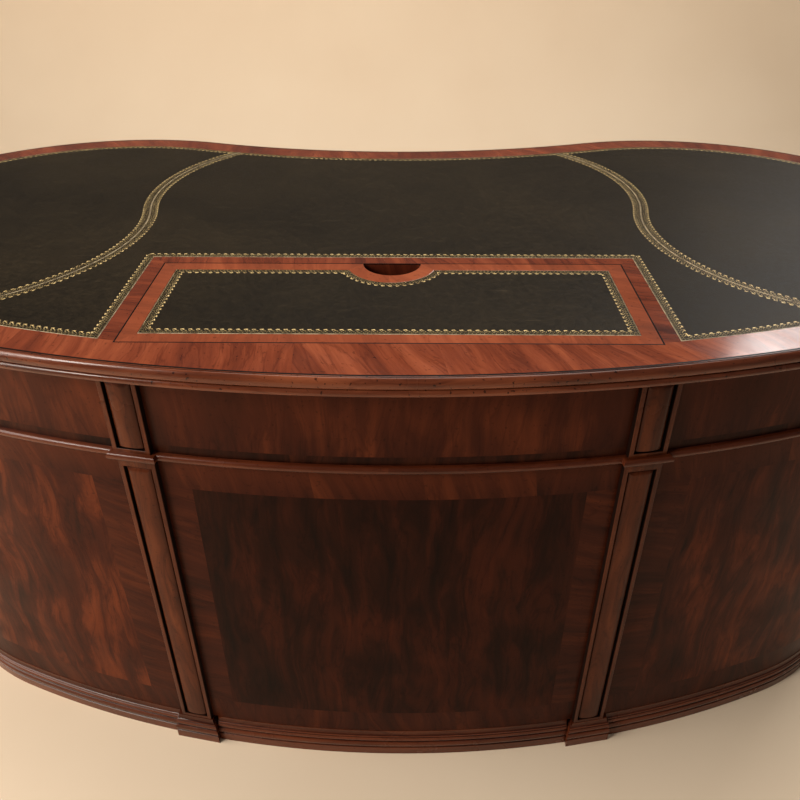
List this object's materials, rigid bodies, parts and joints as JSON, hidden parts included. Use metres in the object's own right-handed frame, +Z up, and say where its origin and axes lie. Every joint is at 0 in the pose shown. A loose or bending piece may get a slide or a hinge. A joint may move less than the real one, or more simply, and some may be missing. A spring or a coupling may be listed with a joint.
{
  "type": "kidney shaped desk",
  "caption": "Kidney-shaped mahogany pedestal desk with a gilt-tooled leather top, a lift-up flap over a hidden compartment, frieze drawers and pedestal drawers.",
  "frame": {"origin": "on the floor under the middle of the top's bounding box", "axes": "+X to the right of the visitor, who faces the convex side (-Y); +Y is the hollow side, where the sitter's knees go; +Z up"},
  "size_m": [1.8284, 0.9264, 0.737],
  "materials": {
    "crossband": "French polished mahogany crossbanding",
    "flame": "French polished figured mahogany veneer",
    "solid": "polished solid mahogany with light wear",
    "lining": "waxed oak",
    "leather": "semi-gloss hide, gold tooled",
    "brass": "aged, polished"
  },
  "bodies": {
    "carcass": {"compartment_well": "solid", "flap_hinge_left_fixed": "brass", "flap_hinge_right_fixed": "brass", "frieze_bead": "solid", "frieze_divider_left": "lining", "frieze_divider_right": "lining", "frieze_dust_board": "lining", "frieze_end_left": "flame", "frieze_end_right": "flame", "frieze_face_frame": "solid", "frieze_front": "flame", "frieze_pilaster_left": "solid", "frieze_pilaster_right": "solid", "leather_centre": "leather", "leather_left": "leather", "leather_right": "leather", "modesty_panel": "flame", "pedestal_bottom_left": "lining", "pedestal_bottom_right": "lining", "pedestal_face_frame_left": "solid", "pedestal_face_frame_right": "solid", "pedestal_kneehole_side_left": "flame", "pedestal_kneehole_side_right": "flame", "pedestal_pilaster_left": "solid", "pedestal_pilaster_right": "solid", "pedestal_plinth_left": "solid", "pedestal_plinth_right": "solid", "pedestal_runner_wall_left": "lining", "pedestal_runner_wall_right": "lining", "pedestal_shell_left": "flame", "pedestal_shell_right": "flame", "plinth_centre": "solid", "top_board": "crossband", "top_edge_moulding": "solid"},
    "flap": {"flap_hinge_left_moving": "brass", "flap_hinge_right_moving": "brass", "flap_leather": "leather", "flap_panel": "crossband"},
    "drawer_frieze_centre": {"drawer_box_frieze_centre": "lining", "drawer_front_frieze_centre": "flame", "drawer_knob_frieze_centre_left": "brass", "drawer_knob_frieze_centre_right": "brass"},
    "drawer_frieze_left": {"drawer_box_frieze_left": "lining", "drawer_front_frieze_left": "flame", "drawer_knob_frieze_left": "brass"},
    "drawer_frieze_right": {"drawer_box_frieze_right": "lining", "drawer_front_frieze_right": "flame", "drawer_knob_frieze_right": "brass"},
    "drawer_upper_left": {"drawer_box_upper_left": "lining", "drawer_front_upper_left": "flame", "drawer_knob_upper_left": "brass"},
    "drawer_upper_right": {"drawer_box_upper_right": "lining", "drawer_front_upper_right": "flame", "drawer_knob_upper_right": "brass"},
    "drawer_file_left": {"drawer_box_file_left": "lining", "drawer_front_file_left": "flame", "drawer_knob_file_left": "brass"},
    "drawer_file_right": {"drawer_box_file_right": "lining", "drawer_front_file_right": "flame", "drawer_knob_file_right": "brass"}
  },
  "joints": [
    {"name": "flap_hinge", "type": "hinge", "parent": "carcass", "child": "flap", "pos_m": [0, -0.386, 0.737], "axis": [1, 0, 0], "range_deg": [0, 100]},
    {"name": "drawer_frieze_centre_slide", "type": "slide", "parent": "carcass", "child": "drawer_frieze_centre", "axis": [0, 1, 0], "range_m": [0, 0.26]},
    {"name": "drawer_frieze_left_slide", "type": "slide", "parent": "carcass", "child": "drawer_frieze_left", "axis": [0, 1, 0], "range_m": [0, 0.26]},
    {"name": "drawer_frieze_right_slide", "type": "slide", "parent": "carcass", "child": "drawer_frieze_right", "axis": [0, 1, 0], "range_m": [0, 0.26]},
    {"name": "drawer_upper_left_slide", "type": "slide", "parent": "carcass", "child": "drawer_upper_left", "axis": [0, 1, 0], "range_m": [0, 0.26]},
    {"name": "drawer_upper_right_slide", "type": "slide", "parent": "carcass", "child": "drawer_upper_right", "axis": [0, 1, 0], "range_m": [0, 0.26]},
    {"name": "drawer_file_left_slide", "type": "slide", "parent": "carcass", "child": "drawer_file_left", "axis": [0, 1, 0], "range_m": [0, 0.26]},
    {"name": "drawer_file_right_slide", "type": "slide", "parent": "carcass", "child": "drawer_file_right", "axis": [0, 1, 0], "range_m": [0, 0.26]}
  ]
}
